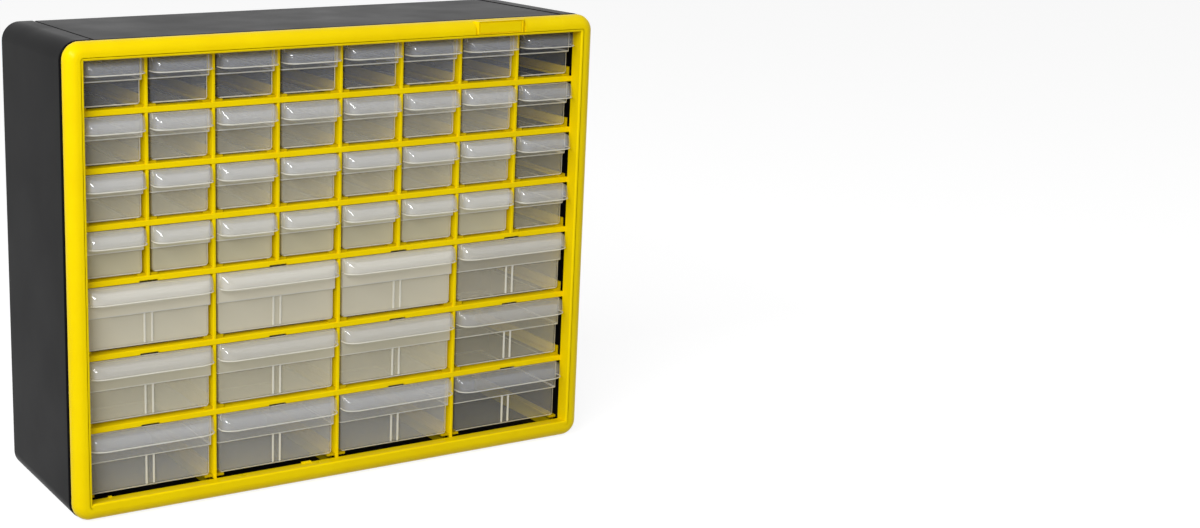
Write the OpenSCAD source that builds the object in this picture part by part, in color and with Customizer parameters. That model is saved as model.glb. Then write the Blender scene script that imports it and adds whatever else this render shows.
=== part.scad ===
// Parts bin cabinet: a black moulded housing, a yellow front frame (border and drawer grid),
// rows of yellow runner rails, and 44 translucent drawers (four rows of small ones over
// three rows of large ones). Millimetres. Front faces -Y, +Z is up, and the origin is the
// middle of the footprint on the surface that the cabinet stands on.

/* [Cabinet] */
// Overall width
body_w = 508; // [508:1:516]
// Overall height
body_h = 402; // [402:1:408]
// Overall depth, from the frame's crown to the back wall
body_d = 158; // [156:1:170]
// Wall of the moulded housing
wall_t = 2.6; // [2.2:0.1:2.6]
// Radius of the housing's four long corners
body_r = 16; // [15:0.5:17]
// Distance of the housing's front edge behind the frame's crown
shell_setback = 14; // [13:0.5:15]
// Width of the raised band along each side of the top
band_w = 28; // [20:1:40]
// Drop of the top's middle panel below the side bands
panel_drop = 1; // [0.4:0.1:1.2]
// Width of the groove between band and middle panel
groove_w = 1.6; // [1:0.1:3]
// Depth of that groove below the side bands
groove_d = 1.6; // [1.3:0.1:1.8]

/* [Front frame] */
// Width of the border at the sides and the top
border_w = 14.8; // [14:0.1:15]
// Extra width of the bottom border
sill_extra = 1; // [0.2:0.1:1.5]
// Radius of the border's outer shoulder
shoulder_r = 10; // [8:0.5:10.5]
// Radius of the border's inner edge
inner_edge_r = 1.5; // [0.5:0.1:2]
// Gap from the housing's side to the frame's side
frame_inset = 0.8; // [0.5:0.1:1]
// Gap from the housing's top to the frame's top
frame_drop = 0.3; // [0.2:0.1:0.6]
// Gap from the floor to the frame's lower edge
frame_lift = 1; // [0.5:0.1:1.5]
// Depth of the grid's front plane behind the crown
grid_setback = 14.5; // [13:0.5:15]
// Depth of the grid's bars, front to back
bar_d = 12; // [8:1:16]
// Width of an upright bar
upright_w = 2.8; // [2:0.1:3]
// Distance of the uprights' faces behind those of the cross bars
upright_relief = 0.3; // [0.2:0.1:0.6]
// Height of a cross bar
cross_h = 5; // [4:0.1:5.2]
// Width of the stop notch over each large drawer
notch_w = 17; // [10:1:20]
// Height of the stop notch
notch_h = 1.2; // [0.8:0.1:2]
// Reach of the frame's neck into the housing
neck_reach = 6; // [5:0.5:7]
// Gap from the frame's side flange back to the housing's edge
flange_gap = 2.5; // [2:0.1:3]
// Depth of the window's edge behind the grid's front plane
window_lip = 2.5; // [2:0.1:3]

/* [Drawers] */
// Share of the window's height that a row of small drawers takes, in percent
small_row_pct = 12.74; // [12.7:0.01:12.78]
// Share of the window's height that a row of large drawers takes, in percent
large_row_pct = 16.94; // [16.9:0.01:16.98]
// Gap from a small drawer's floor down to the bar under it
small_floor_gap = 2.15; // [2:0.05:2.6]
// Gap from a large drawer's floor down to the bar under it
large_floor_gap = 3.1; // [2.8:0.05:3.6]
// Depth of a drawer's box behind its front face
drawer_d = 133; // [120:1:134]
// Gap between a drawer's rim and the grid, each side
side_gap = 1.55; // [1.2:0.05:2]
// Gap between a drawer's rim and the bar over it
top_gap = 0.6; // [0.4:0.1:0.8]
// Wall of a drawer
drawer_t = 1.3; // [1:0.1:1.4]
// How far the rim band stands out past the box below it
rim_step = 1.4; // [1:0.1:1.4]
// Height of the rim band, as a share of the drawer's height in percent
rim_pct = 49; // [42:1:55]
// Radius of the box's lower edges
box_r = 3; // [2:0.5:4]
// Distance of a drawer's front face behind the grid's front plane
face_setback = 1.5; // [1:0.5:2]
// Reach of the pull hood in front of the drawer's face
hood_reach = 14; // [12:0.5:14.5]
// Radius of the hood's rounded top
hood_r = 10.5; // [8:0.5:11]
// Height of the hood from rim to lip
hood_h = 13.1; // [12:0.1:14]
// Wall of the hood
hood_t = 1.5; // [1.2:0.1:2]
// Radius of the hood's front corners, seen from above
hood_corner_r = 9; // [5:0.5:10]
// Width of one divider rib on a large drawer's front
rib_w = 1.8; // [1:0.1:2.5]
// Width over both divider ribs
rib_span = 8.6; // [6:0.2:12]

/* [Runner rails] */
// Height of the thin web over the ledges
web_h = 6.3; // [3:0.1:8]
// Thickness of a rail's web
web_t = 2; // [1.5:0.1:2.4]
// Reach of a ledge from the middle of its upright bar
ledge_reach = 9; // [7:0.5:12]
// Gap between a drawer's floor and its ledge
slide_gap = 0.2; // [0.1:0.05:0.4]
// Height of the stop lug at the back of each ledge
lug_h = 4; // [2:0.5:6]
// Length of the stop lug
lug_l = 2; // [1.5:0.5:3]

/* [Hidden] */

small_rows = 4;
small_cols = 8;
large_rows = 3;
large_cols = 4;
rows = small_rows + large_rows;

housing_colour = [0.16, 0.16, 0.165];
frame_colour = [0.93, 0.82, 0.03];
drawer_colour = [0.80, 0.80, 0.76, 0.6];

eps = 0.01;
arc_fn = 96;

// Frame outline and the window inside its border.
frame_half_w = body_w/2 - frame_inset;
frame_top = body_h - frame_drop;
window_half_w = frame_half_w - border_w;
window_top = frame_top - border_w;
corner_z = frame_lift + border_w;
window_bottom = corner_z + sill_extra;
window_back = grid_setback + window_lip;
neck_inset = 2.6;
neck_t = 2.4;
neck_back = shell_setback + neck_reach;
flange_back = shell_setback - flange_gap;
inner_wall_t = 2;
skin_t = 3.2;

// Grid lines: column pitch is the small drawers', and large drawers take two columns.
col_pitch = (2*window_half_w + upright_w)/small_cols;
bar_back = grid_setback + bar_d;

// Rows: the pitches share out the window's height, so that they follow the cabinet's.
window_h = window_top - window_bottom;
small_pitch = window_h*small_row_pct/100;
large_pitch = window_h*large_row_pct/100;

// Top of row r's opening and underside of the bar below it, for r = 1 to 7.
function row_top(r) = r <= small_rows
    ? window_top - (r - 1)*small_pitch
    : window_top - small_rows*small_pitch - (r - 1 - small_rows)*large_pitch;
function bar_under(r) = row_top(r + 1);
function line_x(i) = (i - small_cols/2)*col_pitch;

// Drawer sizes by kind.
small_h = small_pitch - cross_h - top_gap - small_floor_gap;
large_h = large_pitch - cross_h - top_gap - large_floor_gap;
small_w = col_pitch - upright_w - 2*side_gap;
large_w = 2*col_pitch - upright_w - 2*side_gap;
face_y = grid_setback + face_setback;
drawer_back = face_y + drawer_d;
function row_drawer_h(r) = r <= small_rows ? small_h : large_h;
function drawer_floor(r) = row_top(r) - top_gap - row_drawer_h(r);

// Rails.
rail_back = body_d - wall_t;
lug_gap = 0.5;
foot_inset = 0.5;
function ledge_top(r) = drawer_floor(r) - slide_gap;
function ledge_under(r) = r < rows ? bar_under(r) + cross_h : ledge_top(r) - web_t;
function web_foot(r) = r < rows ? bar_under(r) : wall_t;
// The end rails' webs stop at the heights above the ledge that the photograph shows.
end_web_h = [6.3, 6.3, 0.9, 6.3, 6.3, 6.3];

// Blank plate on the top border, its middle counted from the window's right side.
plate_x = window_half_w - 86.4;
plate_w = 49;
plate_h = 9;
plate_proud = 0.25;
plate_back = 3;

// Two locating tabs on the bottom border, left and right, as [centre x, width, height].
sill_tabs = [[-window_half_w + 20.4, 3, 1.2], [-0.534*col_pitch, 9, 1.4]];

// Moves a piece drawn with y counted back from the frame's crown into the part's frame.
module placed() {
    translate([0, -body_d/2, 0]) children();
}

// Box given by its low and high corners.
module box(low, high) {
    translate(low) cube(high - low);
}

// Rectangle w by h with round corners, centred on x and standing on y = 0.
module round_rect(w, h, r) {
    translate([-w/2, r]) square([w, h - 2*r]);
    translate([-w/2 + r, 0]) square([w - 2*r, h]);
    for (x = [-w/2 + r, w/2 - r], y = [r, h - r]) translate([x, y]) circle(r, $fn = arc_fn);
}

// Extrudes a shape drawn in x and z backwards, from y0 to y1.
module along_y(y0, y1) {
    translate([0, y1, 0]) rotate([90, 0, 0]) linear_extrude(y1 - y0) children();
}

// ---- Housing ----

module housing_grooves() {
    groove_x = body_w/2 - band_w;
    box([-groove_x, shell_setback - eps, body_h - panel_drop], [groove_x, body_d + eps, body_h + eps]);
    for (side = [-1, 1])
        translate([side*(groove_x - groove_w/2) - groove_w/2, shell_setback - eps, body_h - groove_d])
            cube([groove_w, body_d - shell_setback + 2*eps, groove_d + eps]);
}

module housing() color(housing_colour) placed() {
    inner_w = body_w - 2*wall_t;
    inner_h = body_h - 2*wall_t;
    difference() {
        along_y(shell_setback, body_d) round_rect(body_w, body_h, body_r);
        translate([0, 0, wall_t])
            along_y(shell_setback - eps, body_d - wall_t) round_rect(inner_w, inner_h, body_r - wall_t);
        housing_grooves();
    }
}

// ---- Front frame ----

// Section of a border of width w: x runs inwards from the outer side, y backwards. It is a
// shell with a rounded shoulder, a neck that slips into the housing, and an inner wall.
module border_section(w) {
    difference() {
        union() {
            intersection() {
                translate([shoulder_r, shoulder_r]) circle(shoulder_r, $fn = arc_fn);
                square(shoulder_r);
            }
            translate([0, shoulder_r]) square([shoulder_r, flange_back - shoulder_r]);
            translate([shoulder_r, 0]) square([w - shoulder_r - inner_edge_r, flange_back]);
            translate([w - inner_edge_r, inner_edge_r]) circle(inner_edge_r, $fn = arc_fn);
            translate([neck_inset, flange_back - eps]) square([neck_t, neck_back - flange_back + eps]);
            translate([w - inner_wall_t, inner_edge_r]) square([inner_wall_t, window_back - inner_edge_r]);
        }
        translate([neck_inset + neck_t, skin_t])
            square([w - neck_inset - neck_t - inner_wall_t, neck_back]);
    }
}

// A border of width w along X, with its outer side on z = 0.
module border_bar(w, length) {
    translate([length/2, 0, 0]) rotate([0, -90, 0]) linear_extrude(length) border_section(w);
}

module border_post(length) {
    linear_extrude(length) border_section(border_w);
}

// The lower right corner, turned about the window's corner.
module border_corner() {
    rotate([-90, 0, 0]) rotate_extrude(angle = 90, $fn = arc_fn)
        translate([border_w, 0]) mirror([1, 0]) border_section(border_w);
}

module border() {
    post_h = window_top - corner_z;
    for (side = [0, 1]) mirror([side, 0, 0]) {
        translate([-frame_half_w, 0, corner_z]) border_post(post_h);
        translate([window_half_w, 0, corner_z]) border_corner();
        translate([window_half_w, 0, window_top]) mirror([0, 0, 1]) border_corner();
    }
    translate([0, 0, frame_lift]) border_bar(border_w + sill_extra, 2*window_half_w);
    translate([0, 0, frame_top]) mirror([0, 0, 1]) border_bar(border_w, 2*window_half_w);
}

// The front frame is one moulding. It is drawn as three nodes that touch and don't overlap,
// the border, the cross bars and the uprights, so that its collision is open in each window.
module front_border() color(frame_colour) placed() {
    border();
    name_plate();
    for (tab = sill_tabs)
        box([tab[0] - tab[1]/2, grid_setback + eps, window_bottom - eps],
            [tab[0] + tab[1]/2, window_back, window_bottom + tab[2]]);
}

module cross_bar(r) {
    z = bar_under(r);
    difference() {
        box([-window_half_w, grid_setback, z], [window_half_w, bar_back, z + cross_h]);
        cross_notches(r);
    }
}

// Notches in the underside of the bar over each large drawer.
module cross_notches(r) {
    if (r >= small_rows) for (c = [1 : large_cols])
        translate([line_x(2*c - 1) - notch_w/2, grid_setback - eps, bar_under(r) - eps])
            cube([notch_w, bar_d + 2*eps, notch_h + eps]);
}

// Upright bar of row r on grid line i, between the cross bars over and under it.
module upright(r, i) {
    low = r < rows ? bar_under(r) + cross_h : window_bottom;
    box([line_x(i) - upright_w/2, grid_setback + upright_relief, low],
        [line_x(i) + upright_w/2, bar_back - upright_relief, row_top(r)]);
}

module grid_cross_bars() color(frame_colour) placed()
    for (r = [1 : rows - 1]) cross_bar(r);

module grid_uprights() color(frame_colour) placed()
    for (r = [1 : rows]) {
        step = r <= small_rows ? 1 : 2;
        for (i = [step : step : small_cols - step]) upright(r, i);
    }

module name_plate() {
    middle_z = frame_top - border_w/2 + 0.9;
    box([plate_x - plate_w/2, plate_proud, middle_z - plate_h/2],
        [plate_x + plate_w/2, plate_back, middle_z + plate_h/2]);
}

// ---- Runner rails ----

// Ledge with its stop lug, from x0 to x1, over the front y0 to the housing's back wall.
module ledge(r, x0, x1, y0) {
    box([x0, y0, ledge_under(r)], [x1, rail_back, ledge_top(r)]);
    box([x0, drawer_back + lug_gap, ledge_top(r) - eps],
        [x1, drawer_back + lug_gap + lug_l, ledge_top(r) + lug_h]);
}

// T-rail behind an upright bar at x = 0: one web with a ledge on each side.
module tee_rail(r) {
    box([-web_t/2, bar_back, web_foot(r)], [web_t/2, rail_back, ledge_top(r) + web_h]);
    for (side = [0, 1]) mirror([side, 0, 0]) {
        ledge(r, upright_w/2, ledge_reach, window_back);
        box([0, bar_back, ledge_under(r)], [upright_w/2 + eps, rail_back, ledge_top(r)]);
    }
}

// Angle rail along the right side of the housing, drawn at its place. The lowest one has a
// foot on the housing's floor, behind the frame's neck and clear of the housing's corner.
module end_rail(r) {
    side_x = window_half_w;
    ledge(r, side_x + upright_w/2 - ledge_reach, side_x, window_back);
    if (r < rows)
        box([side_x - web_t, window_back, ledge_under(r)],
            [side_x, rail_back, ledge_top(r) + end_web_h[r - 1]]);
    else
        box([side_x - foot_inset - web_t, neck_back + lug_gap, wall_t],
            [side_x - foot_inset, rail_back, ledge_top(r)]);
}

module runner_rails(r) color(frame_colour) placed() {
    step = r <= small_rows ? 1 : 2;
    for (i = [step : step : small_cols - step]) translate([line_x(i), 0, 0]) tee_rail(r);
    for (side = [0, 1]) mirror([side, 0, 0]) end_rail(r);
}

// ---- Drawers ----

// Box section in x and z, top edge on z = 0, with its lower edges rounded.
module box_section(w, h, r) {
    translate([-w/2, -h + r]) square([w, h - r]);
    translate([-w/2 + r, -h]) square([w - 2*r, r + eps]);
    for (x = [-w/2 + r, w/2 - r]) translate([x, -h + r]) circle(r, $fn = arc_fn);
}

// Side view of the pull hood as a filled shape, reach long and drop high: x is y, y is z.
module hood_side(reach, r, drop) {
    translate([-reach + r, -r]) intersection() {
        circle(r, $fn = arc_fn);
        translate([-r, 0]) square(r);
    }
    translate([-reach + r, -r]) square([reach - r, r]);
    translate([-reach, -drop]) square([reach, drop - r]);
}

// Plan of the hood: w wide, front corners rounded, back edge on y = 0.
module hood_plan(w, reach, r) {
    translate([-w/2, -reach + r]) square([w, reach - r]);
    translate([-w/2 + r, -reach]) square([w - 2*r, r + eps]);
    for (x = [-w/2 + r, w/2 - r]) translate([x, -reach + r]) circle(r, $fn = arc_fn);
}

module hood_solid(w, reach, side_r, corner_r, drop) {
    intersection() {
        rotate([90, 0, 90]) linear_extrude(w, center = true) hood_side(reach, side_r, drop);
        translate([0, 0, -drop]) linear_extrude(drop) hood_plan(w, reach, corner_r);
    }
}

// Hooded finger pull: a shell open below, closed by the drawer's face behind.
module hood(w) {
    difference() {
        hood_solid(w, hood_reach, hood_r, hood_corner_r, hood_h);
        translate([0, 0, -hood_t])
            hood_solid(w - 2*hood_t, hood_reach - hood_t, hood_r - hood_t, hood_corner_r - hood_t, hood_h);
    }
}

// Drawer of any size with its face on y = 0 and its rim on z = 0.
module drawer(w, h) {
    box_w = w - 2*rim_step;
    rim_h = h*rim_pct/100;
    difference() {
        union() {
            box([-w/2, 0, -rim_h], [w/2, drawer_d, 0]);
            along_y(rim_step, drawer_d) box_section(box_w, h, box_r);
        }
        along_y(rim_step + drawer_t, drawer_d - drawer_t)
            box_section(box_w - 2*drawer_t, h - drawer_t, box_r - drawer_t);
        box([-w/2 + drawer_t, drawer_t, -rim_h + drawer_t],
            [w/2 - drawer_t, drawer_d - drawer_t, eps]);
    }
    hood(w);
}

// Pair of ribs of the divider slot, on a large drawer's face below its rim band.
module divider_ribs(h) {
    for (side = [0, 1]) mirror([side, 0, 0])
        box([rib_span/2 - rib_w, 0, -h + box_r], [rib_span/2, rim_step + eps, -h*rim_pct/100 + eps]);
}

module small_drawer(r, c) color(drawer_colour) placed()
    translate([line_x(c) - col_pitch/2, face_y, row_top(r) - top_gap])
        drawer(small_w, small_h);

module large_drawer(r, c) color(drawer_colour) placed()
    translate([line_x(2*c - 1), face_y, row_top(small_rows + r) - top_gap]) {
        drawer(large_w, large_h);
        divider_ribs(large_h);
    }

// ---- Nodes ----

housing();
front_border();
grid_cross_bars();
grid_uprights();
for (r = [1 : rows])
    runner_rails(r);
for (r = [1 : small_rows], c = [1 : small_cols])
    small_drawer(r, c);
for (r = [1 : large_rows], c = [1 : large_cols])
    large_drawer(r, c);
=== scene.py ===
import logging
import math
from dataclasses import dataclass, field
from enum import Enum
from typing import Any

import bpy
import numpy as np
from mathutils import Matrix, Vector


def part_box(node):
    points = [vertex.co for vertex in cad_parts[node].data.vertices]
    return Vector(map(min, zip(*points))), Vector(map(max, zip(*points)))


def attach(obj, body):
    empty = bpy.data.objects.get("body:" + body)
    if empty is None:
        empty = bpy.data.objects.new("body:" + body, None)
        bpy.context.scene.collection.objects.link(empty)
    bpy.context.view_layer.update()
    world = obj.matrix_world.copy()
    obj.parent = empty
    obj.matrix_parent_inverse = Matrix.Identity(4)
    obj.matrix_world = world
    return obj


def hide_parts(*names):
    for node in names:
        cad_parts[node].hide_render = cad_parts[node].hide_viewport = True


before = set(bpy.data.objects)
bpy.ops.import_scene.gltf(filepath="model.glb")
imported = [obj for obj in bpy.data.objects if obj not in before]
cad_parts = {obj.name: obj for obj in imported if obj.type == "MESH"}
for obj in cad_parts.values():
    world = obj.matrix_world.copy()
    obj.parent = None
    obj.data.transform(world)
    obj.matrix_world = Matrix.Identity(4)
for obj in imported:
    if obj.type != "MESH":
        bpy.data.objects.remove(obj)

LOG = logging.getLogger("parts_bin_cabinet")
Array = np.ndarray
Material, Piece = bpy.types.Material, bpy.types.Object
Tree, Socket = bpy.types.NodeTree, bpy.types.NodeSocket
MM = 0.001
QUARTER = math.pi / 2
CROWN_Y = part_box("front_border")[0][1] / MM  # the crown of the frame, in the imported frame
WELD_MM = 1e-3  # points nearer than this are one point
SMALL_ROWS, LARGE_ROWS = 4, 3
SMALL_COLUMNS, LARGE_COLUMNS = 8, 4
ROWS = SMALL_ROWS + LARGE_ROWS
DRAWER_GAP = 0.6  # between the tops of a row's drawers and the bar over them


# ---------------------------------------------------------------- surfaces


class Ends(Enum):
    """How the two ends of a stack of rings are closed."""

    CAP = "each end ring is filled with one flat face"
    LOOP = "the last ring joins the first one"


class Along(Enum):
    """Which way a bar runs, and the plane that its section is drawn in."""

    X = "along X, with its section in (depth, height)"
    Z = "upright, with its section in (x, depth)"


@dataclass
class Surface:
    """A closed shell of flat faces.

    Attributes:
        points: (n, 3) corner points in millimetres, depth counted from the crown.
        faces: arrays of corner numbers, one array for each number of corners.
        rim: (n,) how much a point belongs to a thin edge, 0 to 1: painted shade on the housing,
            and painted glow and highlights on the drawers.
        slot: (n,) which of the piece's finishes a point's faces take.
    """

    points: Array
    faces: list[Array]
    rim: Array
    slot: Array

    @staticmethod
    def from_rings(rings: Array, ends: Ends = Ends.CAP, rim: Array | float = 0.0,
                   slot: Array | int = 0) -> "Surface":
        """Joins a stack of closed rings into a shell whose faces point outwards.

        Corner (i, j) is point j of ring i, and face (i, j) joins rings i and i + 1 between
        points j and j + 1. The sign of the enclosed volume tells which way round they go.

        Args:
            rings: (rings, points, 3) closed rings.
            ends: how the first and last ring are closed.
            rim: edge share of each point, as one number or (rings, points).
            slot: which of the piece's finishes the faces from each point onwards take.

        Returns:
            The closed surface.
        """
        count, around = rings.shape[:2]
        number = np.arange(count * around).reshape(count, around)
        if ends is Ends.LOOP:
            number = np.vstack([number, number[:1]])
        here, after = number, np.roll(number, -1, axis=1)
        quads = np.stack([here[:-1], after[:-1], after[1:], here[1:]], axis=-1).reshape(-1, 4)
        faces = [quads]
        if ends is Ends.CAP:
            faces += [number[:1, ::-1], number[-1:]]
        share = np.broadcast_to(np.asarray(rim, float), (count, around)).reshape(-1)
        slots = np.broadcast_to(np.asarray(slot, int), (count, around)).reshape(-1)
        shell = Surface(rings.reshape(-1, 3), faces, share.copy(), slots.copy())
        return shell if shell.volume() > 0 else shell.turned()

    def volume(self) -> float:
        """Adds up the tetrahedra from the middle of the shell to each of its faces.

        Returns:
            The enclosed volume, below 0 where the faces point inwards.
        """
        middle = self.points - self.points.mean(axis=0)
        total = 0.0
        for corners in self.faces:
            p = middle[corners]
            first, second, third = p[:, :1], p[:, 1:-1], p[:, 2:]
            total += float(np.sum(first * np.cross(second, third)))
        return total / 6

    def turned(self) -> "Surface":
        """The same shell with its faces the other way round."""
        faces = [corners[:, ::-1] for corners in self.faces]
        return Surface(self.points, faces, self.rim, self.slot)

    def welded(self) -> "Surface":
        """Merges points that fall together, and drops the corners and faces lost by it.

        Returns:
            The shell without doubled points.
        """
        keys = np.round(self.points / WELD_MM).astype(np.int64)
        _, first, merged = np.unique(keys, axis=0, return_index=True, return_inverse=True)
        merged = merged.reshape(-1)
        kept: list[Array] = []
        for corners in self.faces:
            corners = merged[corners]
            same = corners == np.roll(corners, -1, axis=1)
            left = corners.shape[1] - same.sum(axis=1)
            for sides in np.unique(left[left > 2]):
                rows = left == sides
                kept.append(corners[rows][~same[rows]].reshape(-1, sides))
        return Surface(self.points[first], kept, self.rim[first], self.slot[first])

    def to_piece(self, name: str, finishes: list[Material],
                 painted_light_edge_finish: Material | None = None, smooth_deg: float = 38.0) -> Piece:
        """Puts the shell into a new object at the origin, smooth but for its sharp edges.

        Args:
            name: the piece's name.
            finishes: its finishes, in the order of the slots.
            painted_light_edge_finish: finish of the faces that are mostly thin edge, where it
                differs; on the drawers it is painted glow and highlights.
            smooth_deg: edges that bend more than this stay sharp.

        Returns:
            The new object.
        """
        mesh = bpy.data.meshes.new(name)
        place = self.points * MM + np.array([0.0, CROWN_Y * MM, 0.0])
        mesh.vertices.add(len(place))
        mesh.vertices.foreach_set("co", place.ravel())
        corners = np.concatenate([f.ravel() for f in self.faces])
        sides = np.concatenate([np.full(len(f), f.shape[1]) for f in self.faces])
        mesh.loops.add(len(corners))
        mesh.loops.foreach_set("vertex_index", corners.astype(np.int32))
        mesh.polygons.add(len(sides))
        mesh.polygons.foreach_set("loop_start", (np.cumsum(sides) - sides).astype(np.int32))
        slots = [self.slot[f[:, 0]] for f in self.faces]
        if painted_light_edge_finish is not None:
            thin = [self.rim[f].mean(axis=1) > 0.5 for f in self.faces]
            slots = [np.where(t, len(finishes), own) for t, own in zip(thin, slots)]
            finishes = [*finishes, painted_light_edge_finish]
        for finish in finishes:
            mesh.materials.append(finish)
        mesh.polygons.foreach_set("material_index", np.concatenate(slots).astype(np.int32))
        mesh.update(calc_edges=True)
        mesh.validate()
        edge = mesh.attributes.new("edge_painted_light_and_shade", "FLOAT", "POINT")
        edge.data.foreach_set("value", self.rim.astype(np.float32))
        mesh.shade_smooth()
        mesh.set_sharp_from_angle(angle=math.radians(smooth_deg))
        piece = bpy.data.objects.new(name, mesh)
        bpy.context.scene.collection.objects.link(piece)
        flat = piece.modifiers.new("flat_faces_stay_flat", "WEIGHTED_NORMAL")
        flat.keep_sharp = True
        return piece


def joined(shells: list[Surface]) -> Surface:
    """Collects several welded shells into one surface.

    Args:
        shells: the shells, each closed by itself.

    Returns:
        One surface that holds them all.
    """
    shells = [shell.welded() for shell in shells]
    starts = np.cumsum([0] + [len(shell.points) for shell in shells[:-1]])
    faces = [corners + start for shell, start in zip(shells, starts) for corners in shell.faces]
    sizes = sorted({f.shape[1] for f in faces})
    return Surface(
        np.concatenate([shell.points for shell in shells]),
        [np.concatenate([f for f in faces if f.shape[1] == size]) for size in sizes],
        np.concatenate([shell.rim for shell in shells]),
        np.concatenate([shell.slot for shell in shells]),
    )


def arc(start: float, end: float, steps: int) -> Array:
    """Angles in radians from start to end degrees, steps + 1 of them."""
    return np.radians(np.linspace(start, end, steps + 1))


def round_inset(depth: Array, radius: float) -> Array:
    """How far a rounded edge lies in from its face: r - sqrt(r^2 - (r - depth)^2), then 0."""
    short = np.clip(radius - np.asarray(depth, float), 0.0, radius)
    return radius - np.sqrt(radius**2 - short**2)


def rounded_rings(low: Array, high: Array, radius: Array, steps: int) -> Array:
    """Rounded rectangles in a plane, one for each row of the arguments.

    Each corner is a quarter circle about a centre one radius in from both sides:
    (centre + r cos a, centre + r sin a), with a running on by 90 degrees a corner.

    Args:
        low: (n, 2) lowest corner of each rectangle.
        high: (n, 2) highest corner.
        radius: (n,) corner radius.
        steps: segments in a corner.

    Returns:
        (n, 4 * (steps + 1), 2) points, anticlockwise from the lowest corner.
    """
    angle = arc(180, 270, steps)[None, :] + QUARTER * np.arange(4)[:, None]
    high_x, high_y = np.array([0, 1, 1, 0]), np.array([0, 0, 1, 1])
    r = radius[:, None]
    cx = np.where(high_x, high[:, :1] - r, low[:, :1] + r)
    cy = np.where(high_y, high[:, 1:] - r, low[:, 1:] + r)
    x = cx[:, :, None] + r[:, :, None] * np.cos(angle)
    y = cy[:, :, None] + r[:, :, None] * np.sin(angle)
    return np.stack([x.reshape(len(low), -1), y.reshape(len(low), -1)], axis=-1)


def bar(along: Along, start: float, end: float, low: tuple[float, float],
        high: tuple[float, float], radius: float, lifts: Array | None = None) -> Surface:
    """A straight bar with rounded edges, as rounded rectangles carried along one axis.

    Args:
        along: which way the bar runs.
        start: where the bar starts on that axis.
        end: where it ends.
        low: lowest corner of its section.
        high: highest corner of its section.
        radius: radius of its long edges.
        lifts: (n, 2) extra stations as place on the axis and rise of the underside there.

    Returns:
        The closed bar.
    """
    ends = np.array([[start, 0.0], [end, 0.0]])
    stations = ends if lifts is None else np.vstack([ends[:1], lifts, ends[1:]])
    count = len(stations)
    lows = np.tile(np.array(low, float), (count, 1))
    lows[:, 1] += stations[:, 1]
    highs = np.tile(np.array(high, float), (count, 1))
    rings = rounded_rings(lows, highs, np.full(count, radius), steps=4)
    place = np.broadcast_to(stations[:, :1], rings.shape[:2])
    first, second = rings[..., 0], rings[..., 1]
    order = (place, first, second) if along is Along.X else (first, second, place)
    return Surface.from_rings(np.stack(order, axis=-1))


def set_back(flat: Array, depth: Array) -> Array:
    """Points (x, depth, height) of flat rings in (x, height), each ring at its own depth.

    Args:
        flat: (n, k, 2) points of the rings.
        depth: (n,) depths.

    Returns:
        (n, k, 3) points.
    """
    place = np.broadcast_to(depth[:, None], flat.shape[:2])
    return np.stack([flat[..., 0], place, flat[..., 1]], axis=-1)


# ---------------------------------------------------------------- finishes


def linear(hex_colour: str) -> tuple[float, float, float, float]:
    """Turns an sRGB hex colour to the linear one that sockets take.

    Args:
        hex_colour: such as "#F0D805".

    Returns:
        Red, green and blue from 0 to 1, and alpha 1.
    """
    parts = np.array([int(hex_colour[i:i + 2], 16) for i in (1, 3, 5)]) / 255
    flat = np.where(parts <= 0.04045, parts / 12.92, ((parts + 0.055) / 1.055) ** 2.4)
    return (*(float(v) for v in flat), 1.0)


def add_node(tree: Tree, kind: str, values: dict[str | int, Any] | None = None,
             links: dict[str | int, Socket] | None = None, **settings: Any) -> bpy.types.Node:
    """Adds a node with its settings, socket values and incoming links.

    Args:
        tree: the material's or world's node tree.
        kind: the node's type name.
        values: plain values by socket name or number.
        links: sources by socket name or number.
        **settings: the node's own properties.

    Returns:
        The new node.
    """
    node = tree.nodes.new(kind)
    for key, value in settings.items():
        setattr(node, key, value)
    for socket, value in (values or {}).items():
        node.inputs[socket].default_value = value
    for socket, source in (links or {}).items():
        tree.links.new(source, node.inputs[socket])
    return node


def new_material(name: str) -> tuple[Material, Tree]:
    """Adds a material and empties its node tree.

    Args:
        name: the material's name.

    Returns:
        The material and its tree.
    """
    material = bpy.data.materials.new(name)
    material.use_nodes = True
    material.node_tree.nodes.clear()
    return material, material.node_tree


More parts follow.
